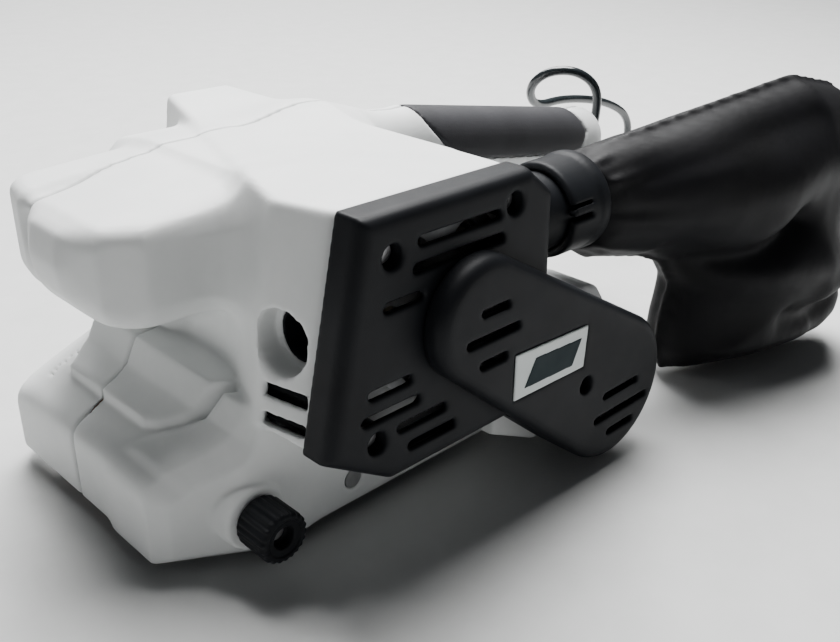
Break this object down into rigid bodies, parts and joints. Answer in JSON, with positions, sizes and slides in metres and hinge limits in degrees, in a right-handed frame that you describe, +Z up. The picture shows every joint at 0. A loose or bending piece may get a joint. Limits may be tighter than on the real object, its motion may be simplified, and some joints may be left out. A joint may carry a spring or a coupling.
{
  "type": "handheld belt sander",
  "caption": "Handheld belt sander: light grey shell, black motor and drive covers, sanding belt on rollers, looped rear handle, front knob handle, dust bag and cord.",
  "frame": {"origin": "centre of the flat underside of the sanding belt, midway between the two roller axles, on the surface being sanded", "axes": "+X towards the rear (main handle and dust bag), -Y the drive side, +Z up"},
  "size_m": [0.4457, 0.301, 0.149],
  "materials": {
    "housing": "fine satin moulded texture",
    "grip_rubber": "soft matt overmould",
    "cover_plastic": "fine spark-eroded satin",
    "badge_face": "printed film, blank",
    "bag_fabric": "coated woven nylon with a low sheen",
    "abrasive": "aluminium oxide grit on cloth",
    "cast_alloy": "as cast",
    "roller_alloy": "turned",
    "bright_steel": "ground and zinc plated",
    "laminated_steel": "varnished laminations",
    "black_rubber": "satin moulded rubber",
    "graphite_pad": "graphite cloth over cork",
    "nylon": "glass filled nylon",
    "copper": "varnished wire",
    "carbon": "pressed carbon"
  },
  "bodies": {
    "machine": {"left_housing": "housing", "right_housing": "housing", "handle_grip": "grip_rubber", "belt_frame": "cast_alloy", "frame_screw": "bright_steel", "platen": "bright_steel", "platen_pad": "graphite_pad", "lever_pin": "bright_steel", "sanding_belt": "abrasive", "drive_belt": "black_rubber", "drive_shaft_bearings": "bright_steel", "motor_end_plate": "cast_alloy", "motor_stator": "laminated_steel", "stator_cradle": "nylon", "field_windings": "copper", "brush_holders": "nylon", "carbon_brushes": "carbon", "motor_bearings": "bright_steel", "motor_end_cover": "cover_plastic", "cover_screws": "bright_steel", "drive_belt_cover": "cover_plastic", "badge_plate": "badge_face", "dust_outlet": "cover_plastic", "switch_body": "cover_plastic", "housing_screws": "bright_steel", "strain_relief": "black_rubber", "power_cord": "black_rubber", "cord_coil": "black_rubber", "cord_tie": "cover_plastic", "plug": "black_rubber", "tension_spring": "bright_steel"},
    "drive": {"drive_roller": "roller_alloy", "drive_roller_tyre": "black_rubber", "drive_shaft": "bright_steel", "large_pulley": "cover_plastic"},
    "rotor": {"motor_shaft": "bright_steel", "armature": "laminated_steel", "armature_windings": "copper", "commutator": "copper", "motor_fan": "nylon", "small_pulley": "bright_steel"},
    "idler": {"front_roller": "roller_alloy", "front_roller_bearings": "bright_steel"},
    "yoke": {"front_yoke": "bright_steel", "front_axle": "bright_steel"},
    "slider": {"tension_slider": "cast_alloy", "yoke_pin": "bright_steel"},
    "lever": {"tension_lever": "bright_steel"},
    "tracking": {"tracking_knob": "cover_plastic", "tracking_screw": "bright_steel"},
    "trigger": {"trigger": "cover_plastic"},
    "lock": {"lock_button": "cover_plastic"},
    "collector": {"bag_collar": "cover_plastic", "dust_bag": "bag_fabric"}
  },
  "joints": [
    {"name": "drive_spin", "type": "hinge", "parent": "machine", "child": "drive", "pos_m": [0.07553, 0, 0.026], "axis": [0, 1, 0], "continuous": true},
    {"name": "motor_spin", "type": "hinge", "parent": "machine", "child": "rotor", "pos_m": [-0.008, 0, 0.097], "axis": [0, 1, 0], "continuous": true},
    {"name": "tension_slide", "type": "slide", "parent": "machine", "child": "slider", "axis": [1, 0, 0], "range_m": [0, 0.004], "deforming": ["tension_spring"]},
    {"name": "yoke_tilt", "type": "hinge", "parent": "slider", "child": "yoke", "pos_m": [-0.0485, 0, 0.024], "axis": [0, 0, 1], "range_deg": [-0.35, 0.35]},
    {"name": "idler_spin", "type": "hinge", "parent": "yoke", "child": "idler", "pos_m": [-0.07553, 0, 0.024], "axis": [0, 1, 0], "continuous": true},
    {"name": "lever_swing", "type": "hinge", "parent": "machine", "child": "lever", "pos_m": [-0.012, 0.044, 0.027], "axis": [0, 0, 1], "range_deg": [-95, 0]},
    {"name": "tracking_turn", "type": "hinge", "parent": "machine", "child": "tracking", "pos_m": [-0.076, -0.088, 0.0255], "axis": [0, 1, 0], "range_deg": [-180, 180]},
    {"name": "trigger_pull", "type": "slide", "parent": "machine", "child": "trigger", "axis": [0, 0, 1], "range_m": [0, 0.0035], "stiffness_N_per_m": 500, "springref_m": -0.002},
    {"name": "lock_press", "type": "slide", "parent": "machine", "child": "lock", "axis": [0, -1, 0], "range_m": [0, 0.002], "stiffness_N_per_m": 500, "springref_m": -0.002},
    {"name": "bag_slide", "type": "slide", "parent": "machine", "child": "collector", "axis": [1, 0, 0], "range_m": [0, 0.03]}
  ],
  "couplings": [
    {"joint": "motor_spin", "follows": "drive_spin", "ratio": 2},
    {"joint": "idler_spin", "follows": "drive_spin", "ratio": 1.087},
    {"joint": "yoke_tilt", "follows": "tracking_turn", "ratio": 0.0019444},
    {"joint": "lever_swing", "follows": "tension_slide", "rad_per_m": -414.5}
  ]
}
